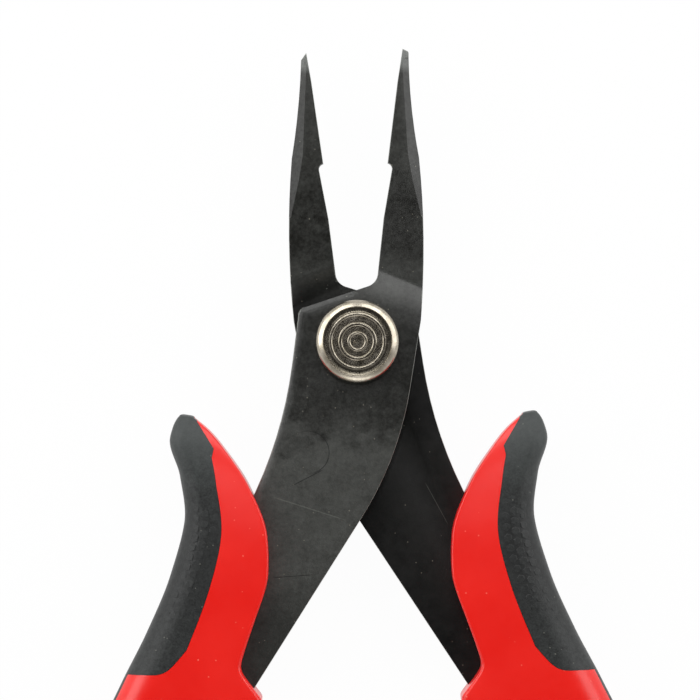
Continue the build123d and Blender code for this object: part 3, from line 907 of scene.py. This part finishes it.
def section_ring(outer, inner, half, outer_round, inner_round):
    """(x, z) points round a section, from the spine over the top to the inside."""
    upper = [(outer, (half - outer_round) * k / SIDE_STEPS) for k in range(SIDE_STEPS)]
    upper += arc((outer + outer_round, half - outer_round), outer_round, 180, 90, steps=12)
    left, right = outer + outer_round, inner - inner_round
    for k in range(1, BROAD_STEPS):
        t = k / BROAD_STEPS
        upper.append((left + (right - left) * t, half))
    upper += arc((right, half - inner_round), inner_round, 90, 0, steps=8)
    upper += [(inner, (half - inner_round) * k / SIDE_STEPS) for k in reversed(range(SIDE_STEPS))]
    middle = (outer + inner) / 2
    reach = max((inner - outer) / 2, LEAST_HALF)
    crowned = [(x, z * (1 - CROWN / half * ((x - middle) / reach) ** 2)) for x, z in upper]
    lower = [(x, -z) for x, z in reversed(crowned[1:-1])]
    return crowned + lower


def row_heights():
    rows = []
    y = FIRST_ROW
    for down_to, step in ROW_STEPS:
        while y > down_to:
            rows.append(y)
            y -= step
    return rows + [LAST_ROW]


def end_cap(y, ring, rise):
    """Rings that shrink and rise over an end of the grip."""
    middle = sum(p[0] for p in ring) / len(ring)
    rings = []
    for k in range(1, CAP_RINGS + 1):
        angle = math.radians(90 * k / CAP_TURN)
        shrink = 1 - CAP_SHRINK * (1 - math.cos(angle))
        smaller = [(middle + (x - middle) * shrink, z * shrink) for x, z in ring]
        rings.append((y + rise * math.sin(angle), smaller))
    return rings


def grip_loft(name, inset=0.0):
    """Closed form of the grip, or of the hard tongue under its soft skin."""
    form = bmesh.new()
    rings = []
    for y in row_heights():
        outer = OUTER_AT(y) + inset
        inner = inner_edge(y) + 2 * inset
        half = HALF_THICK * SHARE_AT(y) - inset
        outer_round = max(OUTER_ROUND_AT(y) - inset, OUTER_ROUND_AT(y) / TONGUE_ROUND)
        inner_round = INNER_ROUND_AT(y)
        room = min((inner - outer) / ROUND_ROOM[0], half * ROUND_ROOM[1])
        ring = section_ring(outer, inner, half, min(outer_round, room), min(inner_round, room))
        rings.append((y, ring))
    rings = end_cap(*rings[0], CAP_RISE)[::-1] + rings + end_cap(*rings[-1], -CAP_RISE)
    loops = [[form.verts.new((x, y, z)) for x, z in ring] for y, ring in rings]
    count = len(loops[0])
    for a, b in zip(loops, loops[1:]):
        for k in range(count):
            n = (k + 1) % count
            form.faces.new((a[k], a[n], b[n], b[k]))
    form.faces.new(loops[0])
    form.faces.new(loops[-1])
    return new_piece(name, form)


def pad_zone(name, grow):
    """Block that holds the soft part: the palm side and the strip down the spine."""
    line = PAD_HORN[:-1] + curve_through(PAD_SIDE) + curve_through(PAD_FOOT)[1:]
    line = [(x + grow * PAD_GROWS[0], y + grow * PAD_GROWS[1]) for x, y in line]
    plan = line + [(FAR_OUT, line[-1][1]), (FAR_OUT, line[0][1])]
    zone = prism(name, plan, -FAR_UP, FAR_UP)
    top, foot = SPINE[0], SPINE[1] - grow
    strip = prism("strip", [(FAR_OUT, top), (FAR_OUT, foot), (FAR_IN, foot), (FAR_IN, top)],
                  -SPINE_HALF - grow, SPINE_HALF + grow)
    cut(zone, strip, "UNION")
    drop(strip)
    return zone


# Panel of honeycomb cells on the palm side of each pad: its centre line, and
# how deep it is on the moulding's upper and lower face.
PANEL = [(-17.35, -21.5), (-16.45, -24.7), (-16.05, -28.0), (-16.3, -31.6), (-16.95, -34.9),
         (-17.9, -38.4), (-18.9, -41.6)]
PANEL_HALF = 1.75
PANEL_BORDER = 0.35  # width over which its sides come up
PANEL_ENDS = (0.3, 0.45)  # shares of its length over which its ends come up
PANEL_DEPTH = {1: 0.03, -1: 0.08}
PANEL_AREA = (-46, -19)  # it lies between these places along the grip
SKIN_HIGH = 2.5  # and on skin that is farther than this from the middle
CELL_RISE = 0.62  # height of the cells, as a share of the panel's depth
CELL_PITCH = 1.34
CELL_GAP = 0.14
CELL_SIZES = (0.86, 1.0)  # smallest and largest share of the width and the height
CELL_HEIGHTS = (0.35, 1.0)
CELL_SEED = 7
END_CELLS = 0.7  # share of the width that the end cells keep
LEAST_FADE = 0.12  # no cell stands where the panel is shallower than this
CELL_TOP = 0.8  # share of its foot that a cell's top keeps
RAY_REACH = 0.02  # metres from which a cell is dropped on the skin
PANEL_LINE = curve_through(PANEL, steps=24)


def end_fade(along):
    """1 along the panel's middle, fading to 0 at its two ends."""
    return min(along / PANEL_ENDS[0], (1 - along) / PANEL_ENDS[1], 1)


def panel_share(x, y):
    """1 on the panel's centre line, fading to 0 at its border."""
    nearest = min((math.hypot(x - a, y - b), k) for k, (a, b) in enumerate(PANEL_LINE))
    away, place_on = nearest
    side = min(max((PANEL_HALF + PANEL_BORDER - away) / PANEL_BORDER, 0), 1)
    return side * max(end_fade(place_on / (len(PANEL_LINE) - 1)), 0)


def sink_panel(pad):
    """Lower the pad's skin where the cells stand, and mark where shade is painted in that recess."""
    marks = pad.data.attributes.new("recess_shade", "FLOAT", "POINT").data
    for vertex in pad.data.vertices:
        x, y, z = vertex.co
        if not (PANEL_AREA[0] < y < PANEL_AREA[1] and abs(z) > SKIN_HIGH):
            continue
        face = 1 if z > 0 else -1
        share = panel_share(x, y)
        vertex.co.z -= face * PANEL_DEPTH[face] * share
        deepest = max(PANEL_DEPTH.values())
        marks[vertex.index].value = max(2 * share - 1, 0) * PANEL_DEPTH[face] / deepest


def cell_points(name, matrix):
    """Honeycomb lattice along the panel, as points with a fade and a turn."""
    lengths = [0]
    for a, b in zip(PANEL_LINE, PANEL_LINE[1:]):
        lengths.append(lengths[-1] + math.dist(a, b))
    spots, fades, turns = [], [], []
    column_gap = CELL_PITCH * math.sqrt(0.75)
    for column in (-1, 0, 1):
        at = CELL_PITCH * (0.5 if column else 1.0)
        while at < lengths[-1]:
            k = max(i for i, length in enumerate(lengths) if length <= at)
            k = min(k, len(PANEL_LINE) - 2)
            (ax, ay), (bx, by) = PANEL_LINE[k], PANEL_LINE[k + 1]
            t = (at - lengths[k]) / (lengths[k + 1] - lengths[k])
            run = math.hypot(bx - ax, by - ay)
            dx, dy = (bx - ax) / run, (by - ay) / run
            x = ax + (bx - ax) * t - dy * column * column_gap
            y = ay + (by - ay) * t + dx * column * column_gap
            ends = end_fade(at / lengths[-1])
            if ends > LEAST_FADE:
                spots.append((x, y, 0))
                fades.append(ends)
                heading = matrix.to_3x3() @ Vector((dx, dy, 0))
                turns.append(math.atan2(heading.y, heading.x))
            at += CELL_PITCH
    mesh = bpy.data.meshes.new(name)
    mesh.from_pydata(spots, [], [])
    for label, values in (("fade", fades), ("turn", turns)):
        mesh.attributes.new(label, "FLOAT", "POINT").data.foreach_set("value", values)
    obj = new_object(name, mesh)
    place(obj, matrix)
    return obj


def grow_cells(side, pad, face, matrix, body):
    """Raised hexagons seated on the sunk panel of one face of a pad."""
    upward = 1 if (matrix.to_3x3() @ Vector((0, 0, face))).z > 0 else -1
    name = side + "_pad_cells_" + ("top" if upward > 0 else "back")
    cells = cell_points(name, matrix)
    depth = CELL_RISE * PANEL_DEPTH[face] * MM
    tree = Growth(
        "honeycomb_cells", Pad=("Object", pad), Cell_Width=("Float", (CELL_PITCH - CELL_GAP) * MM),
        Cell_Rise=("Float", depth), Facing=("Float", float(upward)), Seed=("Int", CELL_SEED),
        Material=("Material", RUBBER))
    given = tree.given
    skin = tree.add("GeometryNodeObjectInfo", Object=given["Pad"])
    away = tree.add("ShaderNodeCombineXYZ", Z=tree.math("MULTIPLY", given["Facing"], RAY_REACH))
    here = tree.add("GeometryNodeInputPosition")
    landed = tree.add(
        "GeometryNodeRaycast", Source_Position=tree.vectors("ADD", here.outputs[0], away.outputs[0]),
        Ray_Direction=tree.vectors("SCALE", away.outputs[0], -1.0), Ray_Length=2 * RAY_REACH)
    tree.feed(landed.inputs[0], skin.outputs["Geometry"])
    seated = tree.add("GeometryNodeSetPosition", Geometry=given["Geometry"],
                      Position=landed.outputs["Hit Position"])
    cell = tree.add(
        "GeometryNodeMeshCylinder", {"fill_type": "NGON"}, Vertices=6,
        Radius=tree.math("DIVIDE", given["Cell Width"], math.sqrt(3)),
        Depth=tree.math("MULTIPLY", given["Cell Rise"], 2.0))
    domed = tree.add("GeometryNodeScaleElements", Geometry=cell.outputs["Mesh"],
                     Selection=cell.outputs["Top"], Scale=CELL_TOP)
    turn = tree.add("GeometryNodeInputNamedAttribute", {"data_type": "FLOAT"}, Name="turn")
    fade = tree.add("GeometryNodeInputNamedAttribute", {"data_type": "FLOAT"}, Name="fade")
    spin = tree.add("ShaderNodeCombineXYZ", Z=turn.outputs["Attribute"])
    aimed = tree.add(
        "FunctionNodeAlignRotationToVector", {"axis": "Z"}, Vector=landed.outputs["Hit Normal"],
        Rotation=tree.add("FunctionNodeEulerToRotation", Euler=spin.outputs[0]).outputs[0])
    drawn = tree.add("FunctionNodeRandomValue", {"data_type": "FLOAT"}, Seed=given["Seed"],
                     Min=CELL_SIZES[0], Max=CELL_SIZES[1])
    next_seed = tree.math("ADD", given["Seed"], 1.0)
    raised = tree.add("FunctionNodeRandomValue", {"data_type": "FLOAT"}, Seed=next_seed,
                      Min=CELL_HEIGHTS[0], Max=CELL_HEIGHTS[1])
    taper = tree.add("ShaderNodeMapRange", Value=fade.outputs["Attribute"], To_Min=END_CELLS)
    width = tree.math("MULTIPLY", drawn.outputs["Value"], taper.outputs[0])
    height = tree.math("MULTIPLY", raised.outputs["Value"], fade.outputs["Attribute"])
    size = tree.add("ShaderNodeCombineXYZ", X=width, Y=width, Z=height)
    planted = tree.add(
        "GeometryNodeInstanceOnPoints", Points=seated.outputs[0], Instance=domed.outputs[0],
        Selection=landed.outputs["Is Hit"], Rotation=aimed.outputs[0], Scale=size.outputs[0])
    tree.end(planted.outputs[0], given["Material"])
    tree.grow(cells)
    finish_piece(cells, None, body)


def grip(side, body, matrix):
    """Hard shell and soft pad of one grip, split along one border, with the cells on the pad."""
    tongue = grip_loft("tongue", PAD_SKIN)
    zone = pad_zone("zone", 0.0)
    pad = grip_loft(side + "_grip_soft_pad")
    cut(pad, zone, "INTERSECT")
    cut(pad, tongue, "DIFFERENCE")
    wide = pad_zone("wide", PAD_CLEARANCE)
    cut(wide, tongue, "DIFFERENCE")
    core = grip_loft(side + "_grip_red_shell")
    cut(core, wide, "DIFFERENCE")
    drop(tongue, zone, wide)
    sink_panel(pad)
    for piece, node, material, slot in ((core, "_grip_core", RED, "red_shell"),
                                        (pad, "_grip_pad", RUBBER, "black_pad")):
        place(piece, matrix)
        shade(piece, degrees=32)
        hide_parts(side + node)
        finish_piece(piece, material, body)
    for face in (1, -1):
        grow_cells(side, pad, face, matrix, body)


grip("left", "front", FRONT)
grip("right", "rear", REAR)


# ------------------------------------------------- the rest of the hardware
def hardware(node, name, material, body, broken):
    """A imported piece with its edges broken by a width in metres."""
    piece = merged_copy(node, name)
    soften(piece, broken, degrees=30)
    shade(piece, degrees=25)
    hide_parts(node)
    finish_piece(piece, material, body)


hardware("pivot_nut", "pivot_round_nut", NICKEL, "front", broken=0.00012)
hardware("disc_spring", "coned_disc_spring", SPRING_STEEL, "front", broken=0.00004)
hardware("joint_washer", "thin_joint_washer", SPRING_STEEL, "rear", broken=0.00003)

WIRE_RADIUS = 0.8
WIRE_BEND = 9.0
WIRE_STEP = 0.5  # distance between the rings of its surface
WIRE_SIDES = 24
BEND_STEPS = 24
SPRING_FOOT = (-11.9, -70.0)
SPRING_CROWN = (-6.0, -50.6)
SOCKET_DEPTH = 2.6
BLEND_SHARE = 0.6  # share of its half width over which the wire bends


def return_wire():
    """Round wire bent along its line, from socket to socket."""
    foot = Matrix.Rotation(math.radians(-HALF_OPEN), 3, "Z") @ Vector((*SPRING_FOOT, 0))
    crown = Vector((*SPRING_CROWN, 0))
    end = foot - (crown - foot).normalized() * SOCKET_DEPTH
    left = [end, crown]
    line = left + [Vector((-p.x, p.y, 0)) for p in reversed(left)]
    mesh = bpy.data.meshes.new("return_spring_wire")
    mesh.from_pydata([tuple(p) for p in line], [(0, 1), (1, 2), (2, 3)], [])
    wire = new_object("return_spring_wire", mesh)
    place(wire, LIFT)
    tree = Growth("bent_wire", Wire_Radius=("Float", WIRE_RADIUS * MM),
                  Bend_Radius=("Float", WIRE_BEND * MM), Step=("Float", WIRE_STEP * MM),
                  Material=("Material", SPRING_STEEL))
    given = tree.given
    line = tree.add("GeometryNodeMeshToCurve", Mesh=given["Geometry"])
    bent = tree.add("GeometryNodeFilletCurve", {"mode": "POLY"}, Curve=line.outputs[0],
                    Radius=given["Bend Radius"], Count=BEND_STEPS)
    even = tree.add("GeometryNodeResampleCurve", {"mode": "LENGTH"}, Curve=bent.outputs[0],
                    Length=given["Step"])
    ring = tree.add("GeometryNodeCurvePrimitiveCircle", Resolution=WIRE_SIDES,
                    Radius=given["Wire Radius"])
    tube = tree.add("GeometryNodeCurveToMesh", Curve=even.outputs[0], Profile_Curve=ring.outputs[0],
                    Fill_Caps=True)
    tree.end(tube.outputs[0], given["Material"])
    tree.grow(wire)
    shade(wire, degrees=40)
    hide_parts("return_spring")
    finish_piece(wire, None, None)
    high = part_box("return_spring")[1]
    edge = high.x * BLEND_SHARE
    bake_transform(wire, "front", "rear", start=(-edge, high.y, 0.0055), end=(edge, high.y, 0.0055))


return_wire()


# ------------------------------------------------------ floor, light, camera
FLOOR_SIZE = 2.0  # half its width, metres
FLOOR_GREY = 0.86
FLOOR_WHITE = 0.97  # share of plain white in what the camera sees of it
FLOOR_DROP = 0.00002  # metres below the tool's back
BOX_DISTANCE = 1.0  # metres from the pivot to each lamp
# Lamps: name, direction from the pivot, size in metres, watts.
LAMPS = [
    ("far_left_box", (-0.37, 0.69, 0.62), (0.65, 0.6), 3.7),
    ("far_right_box", (0.37, 0.69, 0.62), (0.65, 0.6), 3.55),
    ("near_box", (0.0, -0.9, 0.36), (0.7, 0.35), 1.3),
    ("left_box", (-0.88, 0.25, 0.42), (0.8, 0.6), 4.3),
    ("right_box", (0.88, 0.25, 0.42), (0.8, 0.6), 3.4),
    ("high_strip", (0.0, 0.23, 0.97), (0.26, 0.12), 0.42),
]
CEILING = (0.985, 0.02)  # sine of its height, and how bright it is
WALL_LEVELS = [(0.3, 0.95), (0.62, 0.5), (0.8, 0.24), (0.93, 0.09)]
WORLD_STRENGTH = 0.85
CAMERA_HEIGHT = 0.8  # metres above the top of the tool
SENSOR = 36.0
VIEW_WIDTH = 0.0921  # metres seen across at the top of the tool
CAMERA_ROLL = -0.65  # degrees
CAMERA_AIM = (-0.98, -1.145)  # millimetres, in the camera's own turn


def pale_floor():
    form = bmesh.new()
    bmesh.ops.create_grid(form, x_segments=1, y_segments=1, size=FLOOR_SIZE)
    floor = new_piece("floor", form)
    finish = Finish("floor_card")
    card = finish.surface(Base_Color=(FLOOR_GREY, FLOOR_GREY, FLOOR_GREY, 1), Roughness=0.9,
                          Specular_IOR_Level=0.1)
    path = finish.add("ShaderNodeLightPath").outputs
    seen = finish.strongest(path["Is Camera Ray"], path["Is Glossy Ray"], path["Is Transmission Ray"])
    glow = finish.add("ShaderNodeEmission", Strength=1.0)
    blend = finish.add("ShaderNodeMixShader")
    sources = (finish.math("MULTIPLY", seen, FLOOR_WHITE), finish.shader.outputs[0], glow.outputs[0])
    for socket, source in zip(blend.inputs, sources):
        finish.feed(socket, source)
    finish.feed(finish.tree.nodes["Material Output"].inputs["Surface"], blend.outputs[0])
    floor.data.materials.append(card)
    floor.location.z = -FLOOR_DROP


def soft_box(name, direction, size, power):
    """White lamp that faces the pivot."""
    light = bpy.data.lights.new(name, "AREA")
    light.shape = "RECTANGLE"
    light.size, light.size_y = size
    light.energy = power
    lamp = new_object(name, light)
    away = Vector(direction).normalized()
    lamp.location = away * BOX_DISTANCE
    lamp.rotation_euler = away.to_track_quat("Z", "Y").to_euler()


def studio_world():
    """Pale walls that darken upwards to a nearly black ceiling."""
    world = bpy.data.worlds.new("studio")
    bpy.context.scene.world = world
    world.use_nodes = True
    nodes = Nodes(world.node_tree)
    where = nodes.add("ShaderNodeTexCoord").outputs["Generated"]
    height = nodes.add("ShaderNodeSeparateXYZ", Vector=where).outputs["Z"]
    ramp = nodes.add("ShaderNodeValToRGB", Fac=height)
    sky = world.node_tree.nodes["Background"]
    nodes.feed(sky.inputs["Color"], ramp.outputs[0])
    stops = ramp.color_ramp.elements
    stops[0].color = (1, 1, 1, 1)
    stops[1].position = CEILING[0]
    stops[1].color = (CEILING[1], CEILING[1], CEILING[1], 1)
    for position, level in WALL_LEVELS:
        stop = stops.new(position)
        stop.color = (level, level, level, 1)
    nodes.feed(sky.inputs["Strength"], WORLD_STRENGTH)


def look_down():
    """Camera straight above the tool, with the jaws at the top of its view."""
    camera = bpy.data.cameras.new("camera")
    camera.sensor_width = SENSOR
    camera.lens = SENSOR * CAMERA_HEIGHT / VIEW_WIDTH
    rig = new_object("camera", camera)
    roll = math.radians(CAMERA_ROLL)
    centre = Matrix.Rotation(roll, 3, "Z") @ Vector((*CAMERA_AIM, 0)) * MM
    rig.location = (centre.x, centre.y, CAMERA_HEIGHT + HALF_THICK * MM)
    rig.rotation_euler = (0, 0, roll)
    bpy.context.scene.camera = rig


pale_floor()
for lamp in LAMPS:
    soft_box(*lamp)
studio_world()
look_down()
bpy.context.scene.view_settings.view_transform = "Standard"
